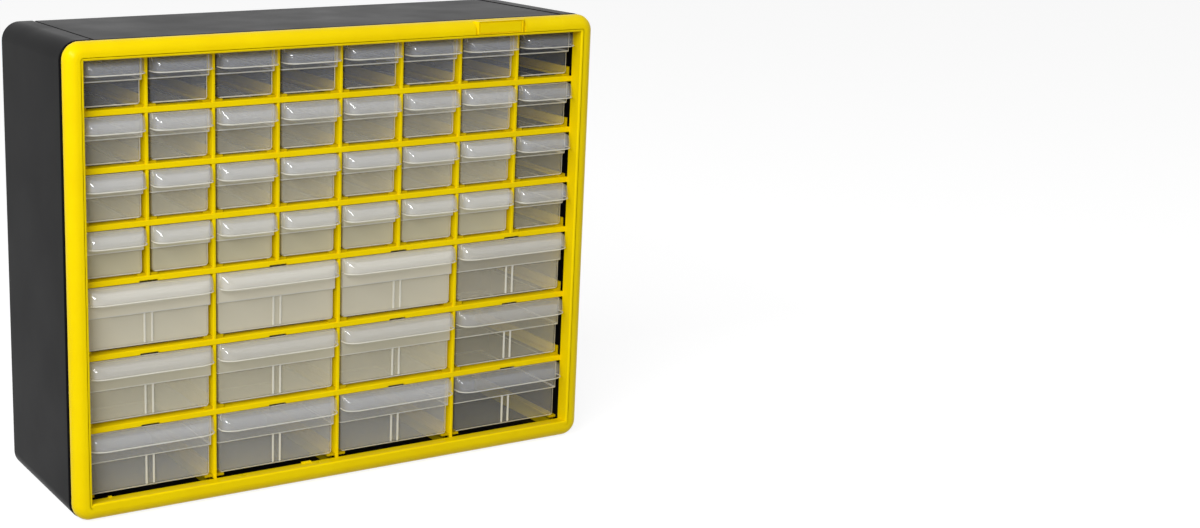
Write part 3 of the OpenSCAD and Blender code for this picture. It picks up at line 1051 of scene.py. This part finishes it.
@dataclass
class Drawer:
    """One moulded drawer: a stepped tray with a pull hood, and ribs on the large ones.

    Attributes:
        row: its row, 1 at the top.
        column: its column, 1 at the left.
        wall: thickness of its walls and floor.
        step: how far the rim band stands out past the tray below it.
        rim_share: height of the rim band as a share of the drawer's height.
        floor_radius: radius of the tray's long lower edges.
        edge: radius of its other outer edges.
        inner_edge: radius inside, where front and back meet the floor.
        band_edge: radius of the rim band's lower edge.
        corner_radii: radius of its upright corners, outside and inside.
        face_y: depth of its face behind the frame's crown.
        rib_width: width of each rib on a large drawer's face.
        rib_span: width over the pair of ribs.
        rib_behind: how far the ribs' faces lie behind the band's.
        rib_foot: height of their feet over the drawer's bottom.
        rib_bite: how far they run into the wall behind them and into the band over them.
        rib_edge: radius of their edges.
        rib_glow: how much of the thin edges' painted glow they take.
        small_corner: half-axes of the plan corners of a small drawer's hood.
        large_corner: the same of a large drawer's hood.
        node: its CAD node.
        low: lowest corner of that node, in millimetres from the crown.
        high: highest corner of that node.
    """

    row: int
    column: int
    wall: float = 1.3
    step: float = 1.4
    rim_share: float = 0.49
    floor_radius: float = 3.0
    edge: float = 0.7
    inner_edge: float = 0.8
    band_edge: float = 0.4
    corner_radii: tuple[float, float] = (1.4, 0.7)
    face_y: float = 16.0
    rib_width: float = 1.8
    rib_span: float = 8.6
    rib_behind: float = 0.15
    rib_foot: float = 2.2
    rib_bite: tuple[float, float] = (0.5, 0.3)
    rib_edge: float = 0.6
    rib_glow: float = 0.85
    small_corner: tuple[float, float] = (11.0, 8.5)
    large_corner: tuple[float, float] = (15.0, 8.5)
    node: str = field(init=False)
    low: Array = field(init=False)
    high: Array = field(init=False)

    def __post_init__(self) -> None:
        """Reads the drawer's place from its CAD node, in millimetres from the crown."""
        self.node = drawer_node(self.row, self.column)
        low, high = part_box(self.node)
        self.low = np.array(low) / MM - np.array([0.0, CROWN_Y, 0.0])
        self.high = np.array(high) / MM - np.array([0.0, CROWN_Y, 0.0])

    @property
    def large(self) -> bool:
        """True for a drawer of the lower rows."""
        return self.row > SMALL_ROWS

    @property
    def middle_x(self) -> float:
        """X of the drawer's middle."""
        return (self.low[0] + self.high[0]) / 2

    @property
    def height(self) -> float:
        """Height of the drawer."""
        return self.high[2] - self.low[2]

    def stations(self) -> tuple[Array, Array, Array, Array]:
        """Wall of the tray, once over: up outside from the floor, over the rim and down inside.

        Returns:
            Height below the rim, inset of the sides, inset of front and back, and edge share.
        """
        h, r, q, t, s = self.height, self.floor_radius, self.edge, self.wall, self.step
        band, e = h * self.rim_share, self.band_edge
        turn, small, over = arc(0, 90, 8), arc(0, 90, 4), arc(0, 180, 8)
        rise = r - r * np.cos(turn)
        inner_rise = (r - t) * (1 - np.cos(turn))
        half = t / 2
        z = np.concatenate([
            -h + rise, [-band - 1.2, -band - 0.25, -band],
            -band + e - e * np.cos(small), [-band + 1.0, -band + 1.1, -1.4],
            -half + half * np.sin(over), [-1.5, -band + t + 0.5, -band + t, -band + t - 0.4],
            (-h + t + inner_rise)[::-1]])
        side = np.concatenate([
            s + r - r * np.sin(turn), [s, s, s - 0.25],
            e - e * np.sin(small), [0, 0, 0],
            half - half * np.cos(over), [t, t, t + 0.3, s + t],
            (s + r - (r - t) * np.sin(turn))[::-1]])
        front = np.concatenate([
            s + round_inset(rise, q), [s, s, s - 0.25],
            e - e * np.sin(small), [0, 0, 0],
            half - half * np.cos(over), [t, t, t + 0.3, s + t],
            (s + t + round_inset(inner_rise, self.inner_edge))[::-1]])
        # Pale lines at the step under the band and over the rim: painted glow and highlights.
        glow = np.concatenate([
            np.zeros(len(turn)), [0, 0.6, 1], np.ones(5), [1, 0, 0],
            [0.3, 0.8, 1, 1, 1, 1, 1, 0.8, 0.3], np.zeros(4 + len(turn))])
        return z, side, front, glow

    def tray(self) -> Surface:
        """Rounded rectangles in plan, stacked up outside and down inside along the wall.

        Pale edges are the foot of the face, the rings that the stations name, and the right front
        corner outside: painted glow and highlights. The band's face takes a more opaque finish:
        painted light that lifts it out of the hood's shade.

        Returns:
            The closed tray.
        """
        z, side, front, glow = self.stations()
        low = np.stack([self.low[0] + side, self.face_y + front], axis=-1)
        high = np.stack([self.high[0] - side, self.high[1] - front], axis=-1)
        steps, ring = 4, np.arange(len(z))
        foot, outside = ring < FOOT_END, ring < OUTSIDE_END
        plan = rounded_rings(low, high, np.where(outside, *self.corner_radii), steps)
        place = np.broadcast_to((self.high[2] + z)[:, None], plan.shape[:2])
        rings = np.stack([plan[..., 0], plan[..., 1], place], axis=-1)
        face = np.repeat([1.0, 1.0, 0.0, 0.0], steps + 1)
        # Only the right front corner is pale outside: a painted highlight.
        corner = np.zeros(4 * (steps + 1))
        corner[steps + 1:2 * steps + 2] = [0.45, 1.0, 1.0, 1.0, 0.45]
        pale = np.maximum(glow[:, None], corner[None] * outside[:, None])
        pale = np.where(foot[:, None], face[None], pale)
        slot = np.full(plan.shape[:2], DrawerSlot.TRAY.value)
        # The band's face takes the more opaque finish: painted light against the hood's shade.
        slot[BAND_FACE, steps] = DrawerSlot.BAND.value
        return Surface.from_rings(rings, Ends.CAP, pale, slot)

    def ribs(self) -> list[Surface]:
        """The pair of ribs beside the divider slot, on the face below the rim band.

        Returns:
            The two closed ribs.
        """
        half, offset = self.rib_width / 2, (self.rib_span - self.rib_width) / 2
        into_wall, into_band = self.rib_bite
        front, back = self.face_y + self.rib_behind, self.face_y + self.step + into_wall
        foot = self.low[2] + self.rib_foot
        top = self.high[2] - self.height * self.rim_share + into_band
        shells = []
        for x in (self.middle_x - offset, self.middle_x + offset):
            rib = bar(Along.Z, foot, top, (x - half, front), (x + half, back), self.rib_edge)
            rib.rim[:] = self.rib_glow
            shells.append(rib)
        return shells

    def build(self, finishes: list[Material], painted_light_edge_finish: Material) -> Piece:
        """Makes the drawer, which stands for its CAD node and rides on its own body.

        Args:
            finishes: the polypropylene of each DrawerSlot.
            painted_light_edge_finish: the polypropylene's thin edges, with painted glow and
                highlights.

        Returns:
            The dressed piece.
        """
        hood = PullHood((self.high[0] - self.low[0]) / 2,
                        corner=self.large_corner if self.large else self.small_corner)
        shells = [self.tray(), hood.surface(self.middle_x, self.high[2], self.face_y)]
        if self.large:
            shells += self.ribs()
        piece = joined(shells).to_piece(f"{self.node}_moulding", finishes, painted_light_edge_finish)
        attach(piece, self.node)
        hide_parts(self.node)
        return piece


@dataclass
class DrawerBank:
    """All 44 drawers: rows of eight small ones over rows of four large ones."""

    finishes: tuple[MilkyPolypropylene, ...] = ROW_PAINTED_LIGHT_AND_SHADE

    def build(self) -> list[Piece]:
        """Makes every drawer.

        Returns:
            The dressed pieces, row by row.
        """
        pieces = []
        painted_light_edge_finish = EDGE_POLYPROPYLENE.material()
        for finish in self.finishes:
            count = columns_in(finish.row)
            usual, last = finish.materials(last=False), finish.materials(last=True)
            for column in range(1, count + 1):
                # The row's last drawer takes the more see-through copy: painted shade beside the
                # housing's side.
                own = last if column == count else usual
                pieces.append(Drawer(finish.row, column).build(own, painted_light_edge_finish))
        return pieces


# ---------------------------------------------------------------- studio


@dataclass(frozen=True)
class SoftBox:
    """A rectangular area lamp.

    Attributes:
        name: its name.
        place: where it hangs, in metres.
        size: its width and height in metres.
        power: its power in watts.
        lean: how far it is turned about its aim, in degrees.
        aim: the point it faces.
    """

    name: str
    place: tuple[float, float, float]
    size: tuple[float, float]
    power: float
    lean: float = 0.0
    aim: tuple[float, float, float] = (0.0, 0.0, 0.2)

    def hang(self) -> None:
        """Makes the lamp, turned from straight down to its aim and then leant."""
        data = bpy.data.lights.new(self.name, "AREA")
        data.shape, data.energy = "RECTANGLE", self.power
        data.size, data.size_y = self.size
        lamp = bpy.data.objects.new(self.name, data)
        way = Vector(self.aim) - Vector(self.place)
        turn = way.to_track_quat("-Z", "Y").to_matrix().to_4x4()
        lean = Matrix.Rotation(math.radians(self.lean), 4, "Z")
        lamp.matrix_world = Matrix.Translation(self.place) @ turn @ lean
        bpy.context.scene.collection.objects.link(lamp)


@dataclass
class Studio:
    """Pale floor, soft lamps, pale world and the photograph's camera.

    Attributes:
        azimuth: how far the camera looks to the right of +Y, in degrees.
        elevation: how far it looks down, in degrees.
        roll: how far it is turned about its view, in degrees.
        eye: its place in millimetres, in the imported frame.
        focal_px: its focal length in pixels of the photograph.
        middle_px: the pixel that it looks straight at.
        image_px: width and height of the photograph in pixels.
        bright_side: direction from which the world is brightest.
        front_light: the world's strength on its dim side.
        rear_light: its strength on its bright side.
        floor_colour: the floor's matt colour.
        floor_white: what it adds where the camera and gloss see it.
        floor_bounce: what it adds elsewhere, as a white floor throws up light.
        floor_half: half the floor's side in metres.
        lamps: the soft boxes.
        clear_walls: how many faces of milky wall a line of sight may pass.
    """

    azimuth: float = 27.808
    elevation: float = 13.101
    roll: float = 0.489
    eye: tuple[float, float, float] = (-738.371, -1419.505, 584.207)
    focal_px: float = 1819.647
    middle_px: tuple[float, float] = (315.971, 228.645)
    image_px: tuple[int, int] = (1200, 528)
    bright_side: tuple[float, float, float] = (0.8, 0.6, 0.0)
    front_light: float = 0.18
    rear_light: float = 0.7
    floor_colour: str = "#989898"
    floor_white: float = 0.83
    floor_bounce: float = 0.15
    floor_half: float = 9.0
    lamps: tuple[SoftBox, ...] = (
        SoftBox("left_strip_box", (-2.0, -1.6, 1.85), (2.8, 0.3), 90.0, -27.0),
        SoftBox("right_fill", (1.6, -2.0, 2.3), (3.0, 3.0), 12.0))
    clear_walls: int = 24

    def camera(self) -> None:
        """Makes the camera from its right, up and backward directions."""
        az, el, roll = (math.radians(a) for a in (self.azimuth, self.elevation, self.roll))
        ahead = Vector((math.sin(az) * math.cos(el), math.cos(az) * math.cos(el), -math.sin(el)))
        level = Vector((math.cos(az), -math.sin(az), 0.0))
        above = level.cross(ahead)
        right = level * math.cos(roll) + above * math.sin(roll)
        up = above * math.cos(roll) - level * math.sin(roll)
        data = bpy.data.cameras.new("photo_camera")
        data.sensor_fit, data.sensor_width = "HORIZONTAL", 36.0
        width, height = self.image_px
        data.lens = self.focal_px * data.sensor_width / width
        data.shift_x = (width / 2 - self.middle_px[0]) / width
        data.shift_y = (self.middle_px[1] - height / 2) / width
        data.clip_start, data.clip_end = 0.05, 60.0
        eye = bpy.data.objects.new("photo_camera", data)
        axes = Matrix((right, up, -ahead)).transposed().to_4x4()
        eye.matrix_world = Matrix.Translation(Vector(self.eye) * MM) @ axes
        bpy.context.scene.collection.objects.link(eye)
        bpy.context.scene.camera = eye

    def background_share(self, tree: Tree) -> Socket:
        """Tells the rays that see the white background from those that carry light.

        Args:
            tree: the node tree that needs the share.

        Returns:
            A socket that is 1 for camera, transmission and glossy rays, and 0 for others.
        """
        seen = add_node(tree, "ShaderNodeLightPath").outputs
        sharp = add_node(tree, "ShaderNodeMath", operation="MAXIMUM",
                         links={0: seen["Is Camera Ray"], 1: seen["Is Transmission Ray"]})
        share = add_node(tree, "ShaderNodeMath", operation="MAXIMUM",
                         links={0: sharp.outputs[0], 1: seen["Is Glossy Ray"]})
        return share.outputs[0]

    def floor(self) -> None:
        """A plain pale floor that camera and gloss see as white, and that keeps the shadow."""
        material, tree = new_material("painted_studio_floor")
        matt = add_node(tree, "ShaderNodeBsdfDiffuse", {"Color": linear(self.floor_colour)})
        white = add_node(tree, "ShaderNodeEmission", {"Strength": self.floor_white})
        bounce = add_node(tree, "ShaderNodeEmission", {"Strength": self.floor_bounce})
        added = add_node(tree, "ShaderNodeMixShader",
                         links={0: self.background_share(tree), 1: bounce.outputs[0],
                                2: white.outputs[0]})
        total = add_node(tree, "ShaderNodeAddShader",
                         links={0: matt.outputs[0], 1: added.outputs[0]})
        add_node(tree, "ShaderNodeOutputMaterial", links={"Surface": total.outputs[0]})
        mesh = bpy.data.meshes.new("studio_floor")
        h = self.floor_half
        mesh.from_pydata([(-h, -h, 0), (h, -h, 0), (h, h, 0), (-h, h, 0)], [], [(0, 1, 2, 3)])
        mesh.materials.append(material)
        ground = bpy.data.objects.new("studio_floor", mesh)
        bpy.context.scene.collection.objects.link(ground)

    def world(self) -> None:
        """A pale world, brightest behind on the right, that camera and gloss see as white."""
        world = bpy.data.worlds.new("pale_studio_world")
        world.use_nodes = True
        tree = world.node_tree
        tree.nodes.clear()
        way = add_node(tree, "ShaderNodeTexCoord")
        toward = add_node(tree, "ShaderNodeVectorMath", {1: self.bright_side},
                          {0: way.outputs["Generated"]}, operation="DOT_PRODUCT")
        level = add_node(tree, "ShaderNodeMapRange",
                         {"From Min": 0.0, "From Max": 0.9, "To Min": self.front_light,
                          "To Max": self.rear_light}, {"Value": toward.outputs["Value"]})
        lit = add_node(tree, "ShaderNodeBackground", {"Color": (1, 1, 1, 1)},
                       {"Strength": level.outputs["Result"]})
        white = add_node(tree, "ShaderNodeBackground", {"Color": (1, 1, 1, 1), "Strength": 1.0})
        both = add_node(tree, "ShaderNodeMixShader",
                        links={0: self.background_share(tree), 1: lit.outputs[0],
                               2: white.outputs[0]})
        add_node(tree, "ShaderNodeOutputWorld", links={"Surface": both.outputs[0]})
        bpy.context.scene.world = world

    def build(self) -> None:
        """Sets up camera, floor, world and lamps."""
        self.camera()
        self.floor()
        self.world()
        for lamp in self.lamps:
            lamp.hang()
        scene = bpy.context.scene
        scene.view_settings.view_transform = "Standard"
        scene.cycles.transparent_max_bounces = self.clear_walls


def main() -> None:
    """Builds the studio and every sub-assembly, and reports each piece."""
    logging.basicConfig(level=logging.INFO, format="%(name)s: %(message)s")
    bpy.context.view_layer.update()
    Studio().build()
    pieces = [Housing().build(), *FrontFrame().build(), *RunnerRails().dress(),
              *DrawerBank().build()]
    for piece in pieces:
        LOG.info("%s: %d faces", piece.name, len(piece.data.polygons))


if __name__ == "__main__":
    main()
